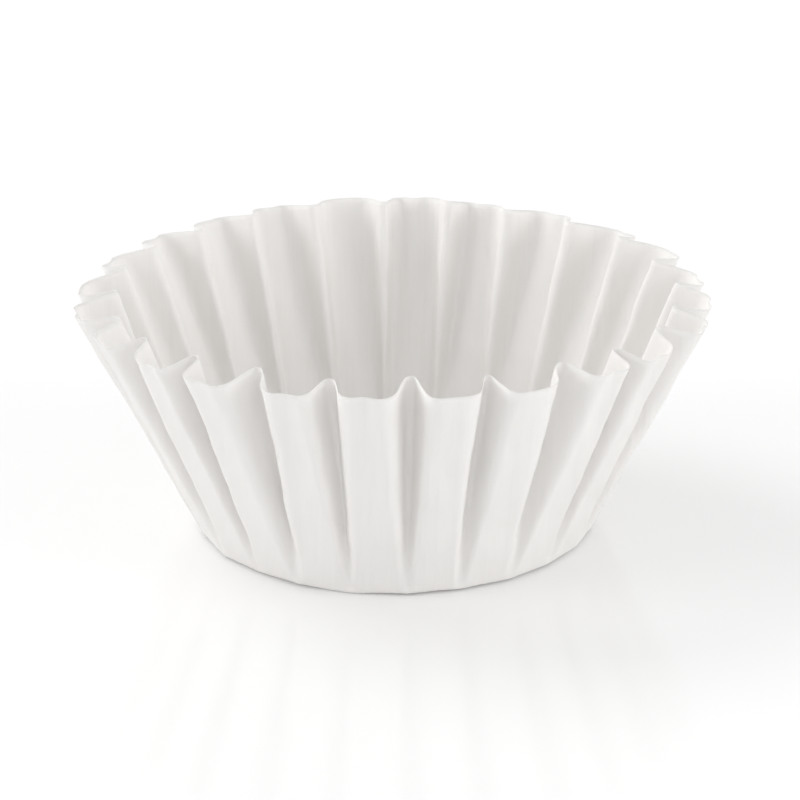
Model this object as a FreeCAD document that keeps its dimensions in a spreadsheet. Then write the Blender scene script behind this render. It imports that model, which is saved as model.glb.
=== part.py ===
import FreeCAD, Part
import math
import os

doc = FreeCAD.newDocument("PaperFilter")

# Driving sizes, in millimetres. Those of the rim and the rounding are taken on the outside, at the rim.
# The corner radius reaches to the corners of the base, one under each groove.
sizes = doc.addObject("Spreadsheet::Sheet", "Sizes")
DRIVING = [
    ("flute_count", 24),
    ("base_corner_radius", 41.8),
    ("rim_radius", 65.6),
    ("rim_height", 48.5),
    ("flute_depth", 7.6),
    ("groove_rise", 1.8),
    ("panel_width", 5.2),
    ("lobe_rounding", 2.8),
    ("groove_rounding", 1.5),
    ("paper_thickness", 0.12),
]
for row, (alias, number) in enumerate(DRIVING, start=1):
    sizes.set("A%d" % row, alias)
    sizes.set("B%d" % row, str(number))
    sizes.setAlias("B%d" % row, alias)
doc.recompute()

flute_count = int(sizes.flute_count)
base_corner_radius = float(sizes.base_corner_radius)
rim_radius = float(sizes.rim_radius)
rim_height = float(sizes.rim_height)
flute_depth = float(sizes.flute_depth)
groove_rise = float(sizes.groove_rise)
panel_width = float(sizes.panel_width)
lobe_rounding = float(sizes.lobe_rounding)
groove_rounding = float(sizes.groove_rounding)
paper_thickness = float(sizes.paper_thickness)

# The sheet is drawn this much too tall, then cut off at the rim
SPARE = 1.15
CENTRE = FreeCAD.Vector(0.0, 0.0, 0.0)
UPRIGHT = FreeCAD.Vector(0.0, 0.0, 1.0)
pitch = 2.0 * math.pi / flute_count
half_pitch = pitch / 2.0


def turned(point, angle):
    """The point turned about the upright axis of the filter, by an angle in radians."""
    return FreeCAD.Rotation(UPRIGHT, math.degrees(angle)).multVec(point)


def mirrored(vector):
    """The same direction on the other side of the groove."""
    return FreeCAD.Vector(vector.x, -vector.y, vector.z)


def unit(vector):
    """The same direction, one long."""
    result = FreeCAD.Vector(vector)
    result.normalize()
    return result


class PaperSide:
    """One side of the paper round one groove. Its straight lines all run up from a corner of the base."""

    def __init__(self, corner, lobe_end, groove_end, lobe_radius, groove_radius):
        self.corner = corner
        self.length = (lobe_end - corner).Length
        self.lobe_line = unit(lobe_end - corner)
        groove_line = unit(groove_end - corner)
        along_edge = turned(FreeCAD.Vector(0.0, 1.0, 0.0), half_pitch)
        lobe_out = unit(along_edge.cross(self.lobe_line))
        groove_out = FreeCAD.Vector(groove_line.z, 0.0, -groove_line.x)

        # Two slim round cones have their points in the corner: one rounds the panel's side, one the groove
        lobe_taper = math.atan(lobe_radius / self.length)
        groove_taper = math.atan(groove_radius / self.length)
        self.lobe_axis = self.lobe_line * math.cos(lobe_taper) - lobe_out * math.sin(lobe_taper)
        self.groove_axis = groove_line * math.cos(groove_taper) + groove_out * math.sin(groove_taper)

        # The flat flank touches both cones, which sets how its square direction leans to each axis
        lean_to_lobe = -math.sin(lobe_taper)
        lean_to_groove = math.sin(groove_taper)
        closeness = self.lobe_axis.dot(self.groove_axis)
        spread = 1.0 - closeness * closeness
        in_plane = (
            self.lobe_axis * ((lean_to_lobe - closeness * lean_to_groove) / spread)
            + self.groove_axis * ((lean_to_groove - closeness * lean_to_lobe) / spread))
        across = unit(self.lobe_axis.cross(self.groove_axis))
        if across.y > 0.0:
            across = across * -1.0
        flank_out = in_plane + across * math.sqrt(1.0 - in_plane.dot(in_plane))

        # The lines in which the flank meets the two cones
        self.flank_at_lobe = unit(self.lobe_axis - flank_out * lean_to_lobe)
        self.flank_at_groove = unit(self.groove_axis - flank_out * lean_to_groove)

    def far_edge(self, start, middle, finish):
        """The arc in which a part of the sheet ends, all of it equally far from the corner."""
        places = [self.corner + line * self.length for line in (start, middle, finish)]
        return Part.Arc(*places).toShape()

    def rounded(self, start, finish, axis):
        """A part of a round cone, swept from one line of the paper to another, and its far edge."""
        from_start = start - axis * start.dot(axis)
        from_finish = finish - axis * finish.dot(axis)
        sweep = math.degrees(from_start.getAngle(from_finish))
        if from_start.cross(from_finish).dot(axis) < 0.0:
            sweep = -sweep
        middle = FreeCAD.Rotation(axis, sweep / 2.0).multVec(start)
        line = Part.makeLine(self.corner, self.corner + start * self.length)
        return line.revolve(self.corner, axis, sweep), self.far_edge(start, middle, finish)

    def flank(self, start, finish):
        """The flat flank between two lines of the paper, and its far edge."""
        edge = self.far_edge(start, unit(start + finish), finish)
        out = Part.makeLine(self.corner, self.corner + start * self.length)
        back = Part.makeLine(self.corner + finish * self.length, self.corner)
        return Part.Face(Part.Wire([out, edge, back])), edge

    def panel(self):
        """The flat panel of a lobe, and its far edge. It stands on the base, between two corners."""
        near_end = self.corner + self.lobe_line * self.length
        far_end = turned(mirrored(near_end), pitch)
        far_corner = turned(self.corner, pitch)
        outline = Part.makePolygon([self.corner, far_corner, far_end, near_end, self.corner])
        return Part.Face(outline), Part.makeLine(near_end, far_end)

    def one_flute(self):
        """The rounded groove, a flank and a rounded edge on each side of it, and one panel."""
        foot, other_foot = self.flank_at_groove, mirrored(self.flank_at_groove)
        top, other_top = self.flank_at_lobe, mirrored(self.flank_at_lobe)
        return [
            self.rounded(other_foot, foot, self.groove_axis),
            self.flank(foot, top),
            self.rounded(top, self.lobe_line, self.lobe_axis),
            self.flank(other_foot, other_top),
            self.rounded(other_top, mirrored(self.lobe_line), mirrored(self.lobe_axis)),
            self.panel(),
        ]

    def base(self):
        """The flat base."""
        corners = [turned(self.corner, pitch * step) for step in range(flute_count)]
        return Part.Face(Part.makePolygon(corners + corners[:1]))


# Slopes of the panel of a lobe and of the bottom of a groove, as seen from the side, and half the
# panel's width at its far end, on straight lines from the base through the rim
edge_radius = base_corner_radius * math.cos(half_pitch)
edge_half = base_corner_radius * math.sin(half_pitch)
panel_half = edge_half + SPARE * (panel_width / 2.0 - edge_half)
lobe_run = rim_radius - edge_radius
groove_run = rim_radius - flute_depth - base_corner_radius
lobe_slope = math.atan2(rim_height, lobe_run)
groove_slope = math.atan2(rim_height + groove_rise, groove_run)


def paper_side(depth):
    """The side of the paper that lies this deep, measured from the outside."""
    corner_in = depth * math.tan(lobe_slope / 2.0) / math.cos(half_pitch)
    corner = FreeCAD.Vector(base_corner_radius - corner_in, 0.0, depth)
    lobe_end = FreeCAD.Vector(
        edge_radius + SPARE * lobe_run - depth * math.sin(lobe_slope),
        -panel_half,
        SPARE * rim_height + depth * math.cos(lobe_slope))
    groove_end = FreeCAD.Vector(
        base_corner_radius + SPARE * groove_run - depth * math.sin(groove_slope),
        0.0,
        SPARE * (rim_height + groove_rise) + depth * math.cos(groove_slope))
    lobe_radius = SPARE * lobe_rounding - depth
    groove_radius = SPARE * groove_rounding + depth
    return PaperSide(corner, turned(lobe_end, half_pitch), groove_end, lobe_radius, groove_radius)


# Every face of one flute: both sides of the paper, and the strip between them at the far edge
outside = paper_side(0.0)
inside = paper_side(paper_thickness)
flute = []
for outer, inner in zip(outside.one_flute(), inside.one_flute()):
    outer_face, outer_edge = outer
    inner_face, inner_edge = inner
    flute.extend([outer_face, inner_face, Part.makeRuledSurface(outer_edge, inner_edge)])

# The flutes repeat round the base, and all the faces close up into one sheet
faces = [outside.base(), inside.base()]
for step in range(flute_count):
    for face in flute:
        repeat = face.copy()
        repeat.rotate(CENTRE, UPRIGHT, math.degrees(pitch * step))
        faces.append(repeat)
skin = Part.makeShell(faces)
skin.sewShape()
if not skin.isClosed():
    raise RuntimeError("the two sides of the paper do not close up")
tall_sheet = doc.addObject("Part::Feature", "TallSheet")
tall_sheet.Shape = Part.Solid(skin)

# What lies under the rim is kept. The rim dips along a wide cone, from the grooves out to the lobes.
under_rim = doc.addObject("Part::Cone", "UnderRim")
under_rim.setExpression(
    "Radius1", "Sizes.rim_radius + Sizes.rim_height * Sizes.flute_depth / Sizes.groove_rise")
under_rim.Radius2 = 0.0
under_rim.setExpression(
    "Height", "Sizes.rim_height + Sizes.rim_radius * Sizes.groove_rise / Sizes.flute_depth")
sheet = doc.addObject("Part::Common", "Sheet")
sheet.Label = "paper_filter"
sheet.Base = tall_sheet
sheet.Tool = under_rim
sheet.Placement = FreeCAD.Placement(CENTRE, FreeCAD.Rotation())
doc.recompute()

for item in doc.Objects:
    if "Invalid" in item.State or "Error" in item.State:
        raise RuntimeError("%s did not build" % item.Label)
if sheet.Shape.isNull() or not sheet.Shape.isValid() or len(sheet.Shape.Solids) != 1:
    raise RuntimeError("the sheet is not one sound solid")

os.makedirs("parts", exist_ok=True)
sheet.Shape.exportStep("parts/paper_filter.step")
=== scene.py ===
import math

import bpy
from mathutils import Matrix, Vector


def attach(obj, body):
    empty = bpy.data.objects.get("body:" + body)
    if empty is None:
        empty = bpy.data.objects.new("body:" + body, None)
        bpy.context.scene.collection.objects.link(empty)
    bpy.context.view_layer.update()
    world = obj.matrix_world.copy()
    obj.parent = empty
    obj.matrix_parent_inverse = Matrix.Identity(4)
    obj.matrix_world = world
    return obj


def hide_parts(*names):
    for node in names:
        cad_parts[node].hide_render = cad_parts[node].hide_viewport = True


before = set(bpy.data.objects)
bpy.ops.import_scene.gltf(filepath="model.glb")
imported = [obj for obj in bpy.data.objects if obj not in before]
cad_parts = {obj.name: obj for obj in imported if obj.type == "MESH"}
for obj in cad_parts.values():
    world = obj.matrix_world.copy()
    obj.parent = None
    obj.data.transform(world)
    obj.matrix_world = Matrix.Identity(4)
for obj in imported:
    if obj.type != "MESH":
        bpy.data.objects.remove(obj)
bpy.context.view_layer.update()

MM = 0.001

# Sizes of the folded sheet, on its outside
FLUTES = 24
CORNER_RADIUS = 41.8 * MM
RIM_RADIUS = 65.6 * MM
RIM_HEIGHT = 48.5 * MM
FLUTE_DEPTH = 7.6 * MM
GROOVE_RISE = 1.8 * MM
PANEL_WIDTH = 4.4 * MM
LOBE_ROUNDING = 3.4 * MM
GROOVE_ROUNDING = 1.2 * MM
FLANK_LEAN = math.radians(70.0)
FLANK_WIDTH = 4.4 * MM
PAPER = 0.12 * MM

# What softens the folds. The grooves spread over this share of a base edge and start shallow over this
# share of the height, and halfway up they sag in. The rim is squeezed from front to back, and where it
# comes in it rises by this share. The bend is the small round one at the edge of the base.
FOOT_SPREAD = 0.3
SHALLOW_SHARE = 0.35
GROOVE_SAG = 0.9 * MM
SQUEEZE = 1.1 * MM
SQUEEZE_RISE = 0.6
BEND = 0.9 * MM

# How far the corners of the base and the points of the rim stray, and how far the panels bow inwards
CORNER_STRAY_ANGLE = 0.02
CORNER_STRAY = 0.3 * MM
RIM_STRAY_ANGLE = 0.024
RIM_STRAY_OUT = 0.9 * MM
RIM_STRAY_UP = 0.35 * MM
PANEL_BOW = 0.45 * MM
PANEL_BOW_STRAY = 0.5 * MM

# The edge of the base is lifted where a slow wave, read round a circle of this radius, is above a level
BASE_LIFT = 1.6 * MM
LIFT_FROM = 0.35
LIFT_CIRCLE = 2.2

# Waves in the paper: how fine, how deep and which pattern. They calm down over the lowest share of the
# wall. The streaks run up the flutes, and change along them at this rate.
WAVES = ((38.0, 1.2 * MM, 11), (110.0, 0.84 * MM, 12), (330.0, 0.2 * MM, 13))
CALM_SHARE = 0.3
STREAKS = 26.0
STREAK_CHANGE = 3.0
STREAK_DEPTH = 0.8 * MM

# How the sheet is drawn: columns across a flute, rows over the base, round the bend and up the wall. The
# base edge is at the middle of the bend. The wave of a flute gets more columns for its width than a panel.
COLUMNS = 36
BASE_ROWS = 5
BEND_ROWS = 5
WALL_ROWS = 44
ROWS = BASE_ROWS + BEND_ROWS + WALL_ROWS
EDGE_ROW = BASE_ROWS + BEND_ROWS / 2
ROW_MARGIN = 0.01
WAVE_COLUMNS = 1.6
TINY = 0.0001
ON_FLAT_DISC = "flat_place"

# How the paper and the table look
PAPER_DARK = (0.85, 0.836, 0.82, 1.0)
PAPER_LIGHT = (0.95, 0.936, 0.92, 1.0)
CLOUD_TINT = 0.1
FIBRE_TINT = 0.3
PAPER_ROUGHNESS = 0.85
PAPER_SHINE = 0.25
SEE_THROUGH = 0.16
FLOOR_COLOUR = (0.85, 0.85, 0.85, 1.0)
FLOOR_ROUGHNESS = 0.13
FLOOR_SHINE = 1.0
# The table's faint glow is painted light: it lifts the shadows on the table and lights the paper a little
# from below.
FLOOR_PAINTED_GLOW = 0.05
FLOOR_HALF_WIDTH = 30.0
FLOOR_DROP = 0.02 * MM
WHITE = (1.0, 1.0, 1.0, 1.0)
ROOM_LIGHT = 0.81

# The grain of the paper: how fine each pattern is, and how strongly it shows in the relief. The crepe is
# finer one way than the other. The pressed lines start at this radius on the flat disc, and change along
# the flutes at this rate. The creases show only in patches that are above a level, with edges this sharp.
GRAIN_DEPTH = 0.16 * MM
GRAIN_STRENGTH = 0.8
FIBRES = 2600.0
CREPE = (1100.0, 200.0, 1.0)
CLOUDS = 90.0
PRESSED_LINES = 75.0
PRESSED_CHANGE = 0.7
PRESSED_FROM = 40.0 * MM
PRESSED_FADE = 12.0 * MM
CREASE_NET = 42.0
CREASE_WIDTH = 0.035
CREASE_PATCHES = 55.0
PATCH_LEVEL = 0.56
PATCH_SHARPNESS = 9.0
FIBRE_RELIEF = 0.35
CREPE_RELIEF = 0.8
PRESSED_RELIEF = 1.6
CREASE_RELIEF = 1.6


# Helpers for laying out nodes

class Numbers:
    """Writes sums as nodes in a tree. A value is a number or the output of a node."""

    def __init__(self, tree):
        self.tree = tree

    def node(self, kind, **settings):
        made = self.tree.nodes.new(kind)
        for name, value in settings.items():
            setattr(made, name, value)
        return made

    def plug(self, socket, value):
        if isinstance(value, bpy.types.NodeSocket):
            self.tree.links.new(value, socket)
        else:
            socket.default_value = value

    def sum(self, operation, *values):
        made = self.node("ShaderNodeMath", operation=operation)
        for socket, value in zip(made.inputs, values):
            self.plug(socket, value)
        return made.outputs[0]

    def vector(self, operation, *values):
        made = self.node("ShaderNodeVectorMath", operation=operation)
        sockets = [made.inputs["Scale"] if operation == "SCALE" and spot == 1 else made.inputs[spot]
                   for spot in range(len(values))]
        for socket, value in zip(sockets, values):
            self.plug(socket, value)
        return made.outputs["Value"] if operation in ("LENGTH", "DOT_PRODUCT") else made.outputs["Vector"]

    def add(self, a, b):
        return self.sum("ADD", a, b)

    def take(self, a, b):
        return self.sum("SUBTRACT", a, b)

    def times(self, a, b):
        return self.sum("MULTIPLY", a, b)

    def over(self, a, b):
        return self.sum("DIVIDE", a, b)

    def clip(self, a):
        return self.sum("MINIMUM", self.sum("MAXIMUM", a, 0.0), 1.0)

    def blend(self, share, a, b):
        """From point a to point b."""
        made = self.node("ShaderNodeMix", data_type="VECTOR")
        self.plug(made.inputs[0], share)
        self.plug(made.inputs[4], a)
        self.plug(made.inputs[5], b)
        return made.outputs[1]

    def chance(self, count, spread, seed):
        """A number from -spread to spread that is the same for every point with this count."""
        made = self.node("FunctionNodeRandomValue", data_type="FLOAT")
        spots = {socket.identifier: socket for socket in made.inputs}
        self.plug(spots["Min_001"], self.times(spread, -1.0))
        self.plug(spots["Max_001"], spread)
        self.plug(spots["ID"], count)
        self.plug(spots["Seed"], seed)
        return next(o for o in made.outputs if o.identifier == "Value_001")

    def place(self, angle, radius, height):
        """The point at this angle, radius and height."""
        made = self.node("ShaderNodeCombineXYZ")
        self.plug(made.inputs[0], self.times(radius, self.sum("COSINE", angle)))
        self.plug(made.inputs[1], self.times(radius, self.sum("SINE", angle)))
        self.plug(made.inputs[2], height)
        return made.outputs[0]


# The folded sheet

def add_inputs(tree):
    """The named inputs of the folding tree."""
    face = tree.interface
    face.new_socket("Geometry", in_out="OUTPUT", socket_type="NodeSocketGeometry")
    for name, kind, value in (
            ("Flutes", "NodeSocketInt", FLUTES),
            ("Corner radius", "NodeSocketFloat", CORNER_RADIUS),
            ("Rim radius", "NodeSocketFloat", RIM_RADIUS),
            ("Rim height", "NodeSocketFloat", RIM_HEIGHT),
            ("Flute depth", "NodeSocketFloat", FLUTE_DEPTH),
            ("Groove rise", "NodeSocketFloat", GROOVE_RISE),
            ("Panel width", "NodeSocketFloat", PANEL_WIDTH),
            ("Lobe rounding", "NodeSocketFloat", LOBE_ROUNDING),
            ("Groove rounding", "NodeSocketFloat", GROOVE_ROUNDING),
            ("Flank lean", "NodeSocketFloat", FLANK_LEAN),
            ("Flank width", "NodeSocketFloat", FLANK_WIDTH),
            ("Foot spread", "NodeSocketFloat", FOOT_SPREAD),
            ("Groove sag", "NodeSocketFloat", GROOVE_SAG),
            ("Squeeze", "NodeSocketFloat", SQUEEZE),
            ("Bend", "NodeSocketFloat", BEND),
            ("Paper", "NodeSocketFloat", PAPER),
            ("Unevenness", "NodeSocketFloat", 1.0),
            ("Softness", "NodeSocketFloat", 1.0),
            ("Seed", "NodeSocketInt", 4),
            ("Material", "NodeSocketMaterial", None)):
        socket = face.new_socket(name, in_out="INPUT", socket_type=kind)
        if value is not None:
            socket.default_value = value


class Fold(Numbers):
    """The sums that fold the sheet, worked out for every point of the flat grid."""

    def __init__(self, tree):
        super().__init__(tree)
        self.given = self.node("NodeGroupInput").outputs
        self.lay_out_grid()
        self.find_flute()
        self.find_rim()
        self.find_border()

    def lay_out_grid(self):
        """The flat grid: across is the turn round the filter, up is the way out from the middle."""
        grid = self.node("GeometryNodeMeshGrid")
        grid.inputs["Size X"].default_value = 1.0
        grid.inputs["Size Y"].default_value = 1.0
        grid.inputs["Vertices X"].default_value = FLUTES * COLUMNS + 1
        grid.inputs["Vertices Y"].default_value = ROWS + 1
        self.flat_sheet = grid.outputs["Mesh"]
        split = self.node("ShaderNodeSeparateXYZ")
        self.plug(split.inputs[0], self.node("GeometryNodeInputPosition").outputs[0])
        self.turn = self.times(self.add(split.outputs[0], 0.5), self.given["Flutes"])
        self.row = self.times(self.add(split.outputs[1], 0.5), ROWS)

        # Share of the wall's height, 0 at the base edge and 1 at the rim
        self.climb = self.clip(self.over(self.take(self.row, EDGE_ROW), ROWS - EDGE_ROW))

    def find_flute(self):
        """Which groove is nearest, and how far from it towards the crest of the lobe, from 0 to 1."""
        flutes = self.given["Flutes"]
        self.pitch = self.over(2.0 * math.pi, flutes)
        self.half_pitch = self.times(self.pitch, 0.5)
        self.groove = self.sum("ROUND", self.turn)
        offset = self.take(self.turn, self.groove)
        self.side = self.sum("SIGN", offset)
        self.toward = self.times(self.sum("ABSOLUTE", offset), 2.0)

        # The same count for every point of a groove or a lobe, also where the sheet closes up
        self.beyond = self.add(self.groove, self.side)
        self.mid_lobe = self.add(self.groove, self.times(self.side, 0.5))
        self.groove_count = self.sum("MODULO", self.groove, flutes)
        self.beyond_count = self.sum("FLOORED_MODULO", self.beyond, flutes)
        lobe = self.sum("FLOORED_MODULO", self.mid_lobe, flutes)
        self.lobe_count = self.sum("ROUND", self.times(lobe, 2.0))

    def uneven(self, count, spread, number):
        """How far something strays, the same for every point with this count."""
        reach = self.times(self.given["Unevenness"], spread)
        return self.chance(count, reach, self.add(self.given["Seed"], number))

    def corner(self, count, where):
        """A corner of the base."""
        angle = self.add(self.times(where, self.pitch), self.uneven(count, CORNER_STRAY_ANGLE, 1))
        radius = self.add(self.given["Corner radius"], self.uneven(count, CORNER_STRAY, 2))
        return self.place(angle, radius, 0.0)

    def rim_place(self, count, where, radius, height, number):
        """A point of the rim, which is squeezed a little from front to back, and its angle."""
        angle = self.add(self.times(where, self.pitch), self.uneven(count, RIM_STRAY_ANGLE, number))
        squeezed = self.take(1.0, self.sum("COSINE", self.times(angle, 2.0)))
        pressed_in = self.times(self.given["Squeeze"], squeezed)
        raised = self.add(height, self.times(pressed_in, SQUEEZE_RISE))
        wide = self.add(self.take(radius, pressed_in), self.uneven(count, RIM_STRAY_OUT, number + 1))
        tall = self.add(raised, self.uneven(count, RIM_STRAY_UP, number + 2))
        return angle, self.place(angle, wide, tall)

    def find_rim(self):
        """The bottom of the groove, the crest of the lobe and the side of its panel, at the rim."""
        given = self.given
        groove_radius = self.take(given["Rim radius"], given["Flute depth"])
        groove_height = self.add(given["Rim height"], given["Groove rise"])
        lobe_angle, self.crest = self.rim_place(
            self.lobe_count, self.mid_lobe, given["Rim radius"], given["Rim height"], 3)
        groove_angle, self.groove_end = self.rim_place(
            self.groove_count, self.groove, groove_radius, groove_height, 6)
        self.out_of_groove = self.place(groove_angle, 1.0, 0.0)
        self.out_of_lobe = self.place(lobe_angle, 1.0, 0.0)
        along_lobe = self.place(self.add(lobe_angle, math.pi / 2), 1.0, 0.0)
        self.panel_half = self.times(given["Panel width"], 0.5)
        to_side = self.vector("SCALE", along_lobe, self.times(self.side, self.panel_half))
        self.panel_end = self.vector("SUBTRACT", self.crest, to_side)

    def find_border(self):
        """How the columns are shared out between the wave and the panel at this height."""
        given = self.given
        spread = given["Foot spread"]
        self.groove_arc = self.times(given["Groove rounding"], given["Flank lean"])
        self.lobe_arc = self.times(
            given["Lobe rounding"], self.add(given["Flank lean"], self.half_pitch))
        self.wave_length = self.add(self.add(self.groove_arc, given["Flank width"]), self.lobe_arc)
        edge_half = self.times(given["Corner radius"], self.half_pitch)
        edge_here = self.times(self.take(1.0, self.climb), edge_half)
        wave_here = self.add(
            self.times(self.times(self.climb, self.wave_length), WAVE_COLUMNS),
            self.times(edge_here, spread))
        panel_here = self.add(
            self.times(edge_here, self.take(1.0, spread)),
            self.times(self.climb, self.panel_half))
        share = self.over(wave_here, self.add(wave_here, panel_here))
        border = self.sum("MAXIMUM", share, TINY)
        left_over = self.sum("MAXIMUM", self.take(1.0, border), TINY)
        self.on_wave = self.sum("LESS_THAN", self.toward, border)
        self.along_wave = self.clip(self.over(self.toward, border))
        self.across_panel = self.clip(self.over(self.take(self.toward, border), left_over))

    def wave_at(self, length):
        """How far the wave has gone round the rim and outwards, after this length of paper."""
        given = self.given
        lean, flank = given["Flank lean"], given["Flank width"]
        small, large = given["Groove rounding"], given["Lobe rounding"]

        # First round the groove, then straight along the flank, then round the side of the lobe
        past_groove = self.take(length, self.groove_arc)
        first = self.times(self.clip(self.over(length, self.groove_arc)), lean)
        straight = self.times(self.clip(self.over(past_groove, flank)), flank)
        rest = self.clip(self.over(self.take(past_groove, flank), self.lobe_arc))
        last = self.take(lean, self.times(rest, self.add(lean, self.half_pitch)))
        around = self.add(
            self.add(
                self.times(small, self.sum("SINE", first)),
                self.times(straight, self.sum("COSINE", lean))),
            self.times(large, self.take(self.sum("SINE", lean), self.sum("SINE", last))))
        outward = self.add(
            self.add(
                self.times(small, self.take(1.0, self.sum("COSINE", first))),
                self.times(straight, self.sum("SINE", lean))),
            self.times(large, self.take(self.sum("COSINE", last), self.sum("COSINE", lean))))
        return around, outward

    def wave(self):
        """The point of the rim's wave that a line of the wall runs up to, and how far it sags in."""
        around, outward = self.wave_at(self.times(self.along_wave, self.wave_length))
        around_all, outward_all = self.wave_at(self.wave_length)
        across_wave = self.vector("SUBTRACT", self.panel_end, self.groove_end)
        straight_out = self.vector(
            "SCALE", self.out_of_groove, self.vector("DOT_PRODUCT", across_wave, self.out_of_groove))
        upward = self.vector("MULTIPLY", across_wave, (0.0, 0.0, 1.0))
        outward_step = self.vector("ADD", straight_out, upward)
        around_step = self.vector("SUBTRACT", across_wave, outward_step)
        from_groove = self.vector(
            "ADD", self.vector("SCALE", around_step, self.over(around, around_all)),
            self.vector("SCALE", outward_step, self.over(outward, outward_all)))
        rim_point = self.vector("ADD", self.groove_end, from_groove)

        # Low on the wall the grooves start shallow, and halfway up they sag in a little
        in_groove = self.take(1.0, self.over(outward, outward_all))
        low_down = self.take(1.0, self.clip(self.over(self.climb, SHALLOW_SHARE)))
        filled = self.times(self.sum("POWER", low_down, 2.0), in_groove)
        rim_point = self.vector("ADD", rim_point, self.vector("SCALE", outward_step, filled))
        deepest = self.times(self.given["Groove sag"], self.times(in_groove, 4.0))
        sag = self.times(deepest, self.times(self.climb, self.take(1.0, self.climb)))
        return rim_point, sag

    def panel(self):
        """The point that a line of the panel runs up to. A panel is bowed a little, mostly inwards."""
        bow = self.take(self.uneven(self.lobe_count, PANEL_BOW_STRAY, 12), PANEL_BOW)
        from_crest = self.take(1.0, self.across_panel)
        bow = self.times(bow, self.take(1.0, self.sum("POWER", from_crest, 2.0)))
        straight = self.blend(self.across_panel, self.panel_end, self.crest)
        return self.vector("ADD", straight, self.vector("SCALE", self.out_of_lobe, bow))

    def foot(self):
        """The point of the base edge that a line starts from, for the wave close to the corner."""
        corner_here = self.corner(self.groove_count, self.groove)
        corner_beyond = self.corner(self.beyond_count, self.beyond)
        middle = self.blend(0.5, corner_here, corner_beyond)
        spread = self.given["Foot spread"]
        from_corner = self.add(
            self.times(spread, self.along_wave),
            self.times(self.take(1.0, spread), self.across_panel))
        return self.blend(from_corner, corner_here, middle)

    def lift(self):
        """The edge of the base stands a little off the table in places."""
        slack = self.node("ShaderNodeTexNoise", noise_dimensions="4D")
        circle = self.place(self.times(self.turn, self.pitch), LIFT_CIRCLE, 0.0)
        self.plug(slack.inputs["Vector"], circle)
        self.plug(slack.inputs["W"], self.given["Seed"])
        slack.inputs["Scale"].default_value = 1.0
        rise = self.times(self.take(slack.outputs[0], LIFT_FROM), self.given["Unevenness"])
        raised = self.sum("MAXIMUM", self.times(rise, BASE_LIFT), 0.0)
        near_edge = self.sum("POWER", self.clip(self.over(self.row, BASE_ROWS)), 3.0)
        up = self.node("ShaderNodeCombineXYZ")
        self.plug(up.inputs[2], self.times(raised, near_edge))
        return up.outputs[0]

    def folded_place(self):
        """Where each point goes: on the base, on the small bend at its edge or on the wall."""
        bend = self.given["Bend"]
        rim_point, sag = self.wave()
        target = self.blend(self.take(1.0, self.on_wave), rim_point, self.panel())
        foot = self.foot()
        foot_out = self.vector("NORMALIZE", foot)
        up_wall = self.vector("NORMALIZE", self.vector("SUBTRACT", target, foot))

        # The base, up to where the bend starts
        edge_start = self.vector("SUBTRACT", foot, self.vector("SCALE", foot_out, bend))
        flat = self.vector("SCALE", edge_start, self.clip(self.over(self.row, BASE_ROWS)))

        # The bend, from one of its ends on the base to the other on the wall
        bend_share = self.clip(self.over(self.take(self.row, BASE_ROWS), BEND_ROWS))
        back = self.sum("POWER", self.take(1.0, bend_share), 2.0)
        ahead = self.sum("POWER", bend_share, 2.0)
        bend_from = self.vector("SCALE", foot_out, self.times(self.times(bend, back), -1.0))
        bend_to = self.vector("SCALE", up_wall, self.times(bend, ahead))
        bent = self.vector("ADD", foot, self.vector("ADD", bend_from, bend_to))

        # The wall, from the end of the bend to the rim
        bend_end = self.vector("ADD", foot, self.vector("SCALE", up_wall, bend))
        wall_share = self.clip(self.over(self.take(self.row, BASE_ROWS + BEND_ROWS), WALL_ROWS))
        sag_in = self.vector("SCALE", self.out_of_groove, self.times(sag, self.on_wave))
        wall = self.vector("SUBTRACT", self.blend(wall_share, bend_end, target), sag_in)

        is_wall = self.sum("GREATER_THAN", self.row, BASE_ROWS + BEND_ROWS - ROW_MARGIN)
        is_base = self.sum("LESS_THAN", self.row, BASE_ROWS + ROW_MARGIN)
        shape = self.blend(is_base, self.blend(is_wall, bent, wall), flat)
        return self.vector("ADD", shape, self.lift())

    def closed_round(self, sheet):
        """The sheet joined up, with each point's place on the flat disc kept for the grain."""
        given = self.given
        slant = self.sum("SQRT", self.add(
            self.sum("POWER", self.take(given["Rim radius"], given["Corner radius"]), 2.0),
            self.sum("POWER", given["Rim height"], 2.0)))
        flat_radius = self.add(
            self.times(given["Corner radius"], self.clip(self.over(self.row, EDGE_ROW))),
            self.times(slant, self.climb))
        on_disc = self.place(self.times(self.turn, self.pitch), flat_radius, 0.0)
        note = self.node(
            "GeometryNodeStoreNamedAttribute", data_type="FLOAT_VECTOR", domain="POINT")
        note.inputs["Name"].default_value = ON_FLAT_DISC
        self.plug(note.inputs["Geometry"], sheet)
        self.plug(next(s for s in note.inputs if s.name == "Value" and s.enabled), on_disc)
        joined = self.node("GeometryNodeMergeByDistance")
        joined.inputs["Distance"].default_value = 0.02 * MM
        self.plug(joined.inputs["Geometry"], note.outputs["Geometry"])
        return joined.outputs["Geometry"]

    def streaks(self):
        """Faint streaks in the paper that run up the flutes."""
        kept = self.node("GeometryNodeInputNamedAttribute", data_type="FLOAT_VECTOR")
        kept.inputs["Name"].default_value = ON_FLAT_DISC
        on_disc = kept.outputs[0]
        split = self.node("ShaderNodeSeparateXYZ")
        self.plug(split.inputs[0], self.vector("NORMALIZE", on_disc))
        along_flute = self.node("ShaderNodeCombineXYZ")
        self.plug(along_flute.inputs[0], split.outputs[0])
        self.plug(along_flute.inputs[1], split.outputs[1])
        change = self.times(self.vector("LENGTH", on_disc), STREAK_CHANGE)
        self.plug(along_flute.inputs[2], change)
        streak = self.node("ShaderNodeTexNoise", noise_dimensions="3D")
        self.plug(streak.inputs["Vector"], along_flute.outputs[0])
        streak.inputs["Scale"].default_value = STREAKS
        streak.inputs["Detail"].default_value = 1.0
        return self.times(self.take(streak.outputs[0], 0.5), STREAK_DEPTH)

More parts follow.
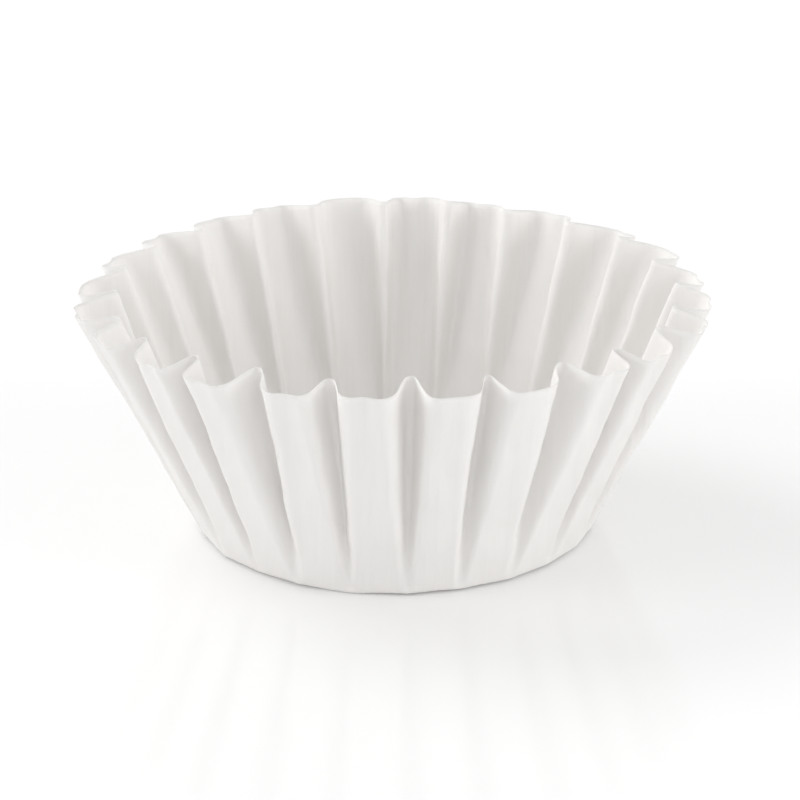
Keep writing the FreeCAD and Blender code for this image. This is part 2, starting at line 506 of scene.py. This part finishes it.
    def softened(self, sheet):
        """Paper is never quite flat: it has broad waves, small dents and faint streaks."""
        position = self.node("GeometryNodeInputPosition").outputs[0]
        square_out = self.node("GeometryNodeInputNormal").outputs[0]
        split = self.node("ShaderNodeSeparateXYZ")
        self.plug(split.inputs[0], position)
        calm_below = self.times(self.given["Rim height"], CALM_SHARE)
        off_base = self.clip(self.over(split.outputs[2], calm_below))
        total = 0.0
        for scale, depth, number in WAVES:
            noise = self.node("ShaderNodeTexNoise", noise_dimensions="4D")
            self.plug(noise.inputs["Vector"], position)
            self.plug(noise.inputs["W"], self.add(self.given["Seed"], number))
            noise.inputs["Scale"].default_value = scale
            noise.inputs["Detail"].default_value = 1.0
            total = self.add(total, self.times(self.take(noise.outputs[0], 0.5), depth))
        total = self.add(total, self.streaks())
        push = self.times(self.times(total, self.given["Softness"]), off_base)
        moved = self.node("GeometryNodeSetPosition")
        self.plug(moved.inputs["Geometry"], sheet)
        self.plug(moved.inputs["Offset"], self.vector("SCALE", square_out, push))
        return moved.outputs["Geometry"]

    def thickened(self, sheet):
        """The sheet with a second face one paper thickness in, and the cut edge between them."""
        inner = self.node("GeometryNodeExtrudeMesh", mode="FACES")
        self.plug(inner.inputs["Mesh"], sheet)
        self.plug(inner.inputs["Offset Scale"], self.times(self.given["Paper"], -1.0))
        inner.inputs["Individual"].default_value = False
        turned = self.node("GeometryNodeFlipFaces")
        self.plug(turned.inputs["Mesh"], inner.outputs["Mesh"])
        both = self.node("GeometryNodeJoinGeometry")
        self.plug(both.inputs[0], turned.outputs["Mesh"])
        self.plug(both.inputs[0], sheet)
        closed = self.node("GeometryNodeMergeByDistance")
        closed.inputs["Distance"].default_value = 0.01 * MM
        self.plug(closed.inputs["Geometry"], both.outputs[0])
        smooth = self.node("GeometryNodeSetShadeSmooth")
        self.plug(smooth.inputs["Geometry"], closed.outputs["Geometry"])
        return smooth.outputs["Geometry"]


def folding_tree():
    """The nodes that fold a flat sheet into the filter, and give it its paper."""
    tree = bpy.data.node_groups.new("Fold the sheet", "GeometryNodeTree")
    add_inputs(tree)
    fold = Fold(tree)
    folded = fold.node("GeometryNodeSetPosition")
    fold.plug(folded.inputs["Geometry"], fold.flat_sheet)
    fold.plug(folded.inputs["Position"], fold.folded_place())
    cup = fold.closed_round(folded.outputs["Geometry"])
    sheet = fold.thickened(fold.softened(cup))
    real = fold.node("GeometryNodeRealizeInstances")
    fold.plug(real.inputs["Geometry"], sheet)
    coat = fold.node("GeometryNodeSetMaterial")
    fold.plug(coat.inputs["Geometry"], real.outputs["Geometry"])
    fold.plug(coat.inputs["Material"], fold.given["Material"])
    fold.plug(fold.node("NodeGroupOutput").inputs["Geometry"], coat.outputs["Geometry"])
    return tree


def made_by(tree, name, **inputs):
    """A plain mesh piece made by a node tree, with its named inputs set first."""
    piece = bpy.data.objects.new(name, bpy.data.meshes.new(name))
    bpy.context.scene.collection.objects.link(piece)
    modifier = piece.modifiers.new("Fold", "NODES")
    modifier.node_group = tree
    for item in tree.interface.items_tree:
        if item.item_type == "SOCKET" and item.in_out == "INPUT" and item.name in inputs:
            modifier[item.identifier] = inputs[item.name]
    bpy.context.view_layer.update()
    shown = piece.evaluated_get(bpy.context.evaluated_depsgraph_get())
    mesh = bpy.data.meshes.new_from_object(shown)
    piece.modifiers.clear()
    piece.data = mesh
    mesh.name = name
    return piece


def paper_material():
    """Soft white uncoated paper with a fine crepe grain, a little see-through to light."""
    material = bpy.data.materials.new("filter paper")
    material.use_nodes = True
    tree = material.node_tree
    tree.nodes.clear()
    n = Numbers(tree)
    flat = n.node("ShaderNodeAttribute", attribute_name=ON_FLAT_DISC).outputs["Vector"]

    def noise(place, scale, detail=2.0):
        made = n.node("ShaderNodeTexNoise")
        made.inputs["Scale"].default_value = scale
        made.inputs["Detail"].default_value = detail
        n.plug(made.inputs["Vector"], place)
        return made.outputs[0]

    fibre = noise(flat, FIBRES, 3.0)
    crepe = noise(n.vector("MULTIPLY", flat, CREPE), 1.0)
    cloud = noise(flat, CLOUDS)

    # Faint pressed lines run up the flutes, and stop short of the base
    out = n.vector("LENGTH", flat)
    along_flute = n.vector("SCALE", (0.0, 0.0, PRESSED_CHANGE), out)
    upward = n.vector("ADD", n.vector("NORMALIZE", flat), along_flute)
    off_base = n.clip(n.over(n.take(out, PRESSED_FROM), PRESSED_FADE))
    pressed = n.times(noise(upward, PRESSED_LINES), off_base)

    # The colour varies a little, in clouds and from fibre to fibre
    clouds = n.times(n.take(cloud, 0.5), CLOUD_TINT)
    shade = n.add(clouds, n.times(n.take(fibre, 0.5), FIBRE_TINT))
    colour = n.node("ShaderNodeMix", data_type="RGBA")
    n.plug(colour.inputs[0], n.clip(n.add(0.5, shade)))
    colour.inputs[6].default_value = PAPER_DARK
    colour.inputs[7].default_value = PAPER_LIGHT

    # A few fine creases lie along a net of lines, in some patches of the sheet
    cells = n.node("ShaderNodeTexVoronoi", feature="DISTANCE_TO_EDGE")
    cells.inputs["Scale"].default_value = CREASE_NET
    n.plug(cells.inputs["Vector"], flat)
    line = n.take(1.0, n.clip(n.over(cells.outputs["Distance"], CREASE_WIDTH)))
    patches = n.take(noise(flat, CREASE_PATCHES, 1.0), PATCH_LEVEL)
    patch = n.clip(n.times(patches, PATCH_SHARPNESS))
    crease = n.times(line, patch)

    # The relief of the surface
    paper_grain = n.add(n.times(fibre, FIBRE_RELIEF), n.times(crepe, CREPE_RELIEF))
    raised = n.add(paper_grain, n.times(pressed, PRESSED_RELIEF))
    bump = n.node("ShaderNodeBump")
    bump.inputs["Strength"].default_value = GRAIN_STRENGTH
    bump.inputs["Distance"].default_value = GRAIN_DEPTH
    n.plug(bump.inputs["Height"], n.take(raised, n.times(crease, CREASE_RELIEF)))

    # Mostly a matt surface, with some light that comes through the sheet
    face = n.node("ShaderNodeBsdfPrincipled")
    face.inputs["Roughness"].default_value = PAPER_ROUGHNESS
    face.inputs["Specular IOR Level"].default_value = PAPER_SHINE
    n.plug(face.inputs["Base Color"], colour.outputs[2])
    n.plug(face.inputs["Normal"], bump.outputs[0])
    through = n.node("ShaderNodeBsdfTranslucent")
    n.plug(through.inputs["Color"], colour.outputs[2])
    n.plug(through.inputs["Normal"], bump.outputs[0])
    mixed = n.node("ShaderNodeMixShader")
    mixed.inputs[0].default_value = SEE_THROUGH
    n.plug(mixed.inputs[1], face.outputs[0])
    n.plug(mixed.inputs[2], through.outputs[0])
    n.plug(n.node("ShaderNodeOutputMaterial").inputs["Surface"], mixed.outputs[0])
    return material


paper = paper_material()
filter_sheet = made_by(folding_tree(), "filter_sheet", Material=paper)
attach(filter_sheet, "root")
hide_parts("paper_filter")


# The surface it stands on

def floor_material():
    """A plain white glossy table that mirrors a little, with a faint glow of painted light that lifts its
    shadows.
    """
    material = bpy.data.materials.new("pale table")
    material.use_nodes = True
    shader = material.node_tree.nodes["Principled BSDF"]
    shader.inputs["Base Color"].default_value = FLOOR_COLOUR
    shader.inputs["Emission Color"].default_value = WHITE
    shader.inputs["Emission Strength"].default_value = FLOOR_PAINTED_GLOW
    shader.inputs["Roughness"].default_value = FLOOR_ROUGHNESS
    shader.inputs["Specular IOR Level"].default_value = FLOOR_SHINE
    return material


def plain_floor():
    """One large flat square under the object."""
    size = FLOOR_HALF_WIDTH
    mesh = bpy.data.meshes.new("floor")
    corners = [(-size, -size, 0), (size, -size, 0), (size, size, 0), (-size, size, 0)]
    mesh.from_pydata(corners, [], [(0, 1, 2, 3)])
    floor = bpy.data.objects.new("floor", mesh)
    floor.location.z = -FLOOR_DROP
    mesh.materials.append(floor_material())
    bpy.context.scene.collection.objects.link(floor)
    return floor


plain_floor()


# Light and camera

def soft_sun(name, place, softness, strength):
    """An even, soft light from far off, from the side of this place."""
    data = bpy.data.lights.new(name, "SUN")
    data.angle = math.radians(softness)
    data.energy = strength
    lamp = bpy.data.objects.new(name, data)
    lamp.location = place
    lamp.rotation_euler = (-Vector(place)).to_track_quat("-Z", "Y").to_euler()
    bpy.context.scene.collection.objects.link(lamp)


soft_sun("key", (-0.7, 0.5, 0.8), 36.0, 0.8)
soft_sun("left", (-1.0, -0.22, 0.4), 30.0, 0.75)
soft_sun("right", (1.0, -0.4, 0.24), 44.0, 1.05)
soft_sun("front", (0.2, -1.0, 0.1), 50.0, 0.2)


def white_room():
    """An even white room: plain light on the object, pure white where it is seen or mirrored."""
    room = bpy.data.worlds.new("white room")
    room.use_nodes = True
    background = room.node_tree.nodes["Background"]
    background.inputs["Color"].default_value = WHITE
    n = Numbers(room.node_tree)
    path = n.node("ShaderNodeLightPath").outputs
    mirrored = n.sum("MAXIMUM", path["Is Glossy Ray"], path["Is Transmission Ray"])
    seen = n.sum("MAXIMUM", path["Is Camera Ray"], mirrored)
    n.plug(background.inputs["Strength"], n.add(ROOM_LIGHT, n.times(seen, 1.0 - ROOM_LIGHT)))
    bpy.context.scene.world = room


white_room()


def aim_camera():
    """The photograph's view: from the front, about 21 degrees above the table."""
    turn = math.radians(-3.2)
    rise = math.radians(21.1)
    distance = 0.65
    target = Vector((0.98 * MM, 0.0, 25.7 * MM))
    focal_pixels = 3112.0
    picture_pixels = 800.0
    data = bpy.data.cameras.new("camera")
    data.sensor_width = 36.0
    data.lens = focal_pixels * data.sensor_width / picture_pixels
    camera = bpy.data.objects.new("camera", data)
    away = Vector((math.sin(turn) * math.cos(rise), -math.cos(turn) * math.cos(rise), math.sin(rise)))
    camera.location = target + away * distance
    camera.rotation_euler = (-away).to_track_quat("-Z", "Y").to_euler()
    bpy.context.scene.collection.objects.link(camera)
    bpy.context.scene.camera = camera


aim_camera()
bpy.context.scene.view_settings.view_transform = "Standard"
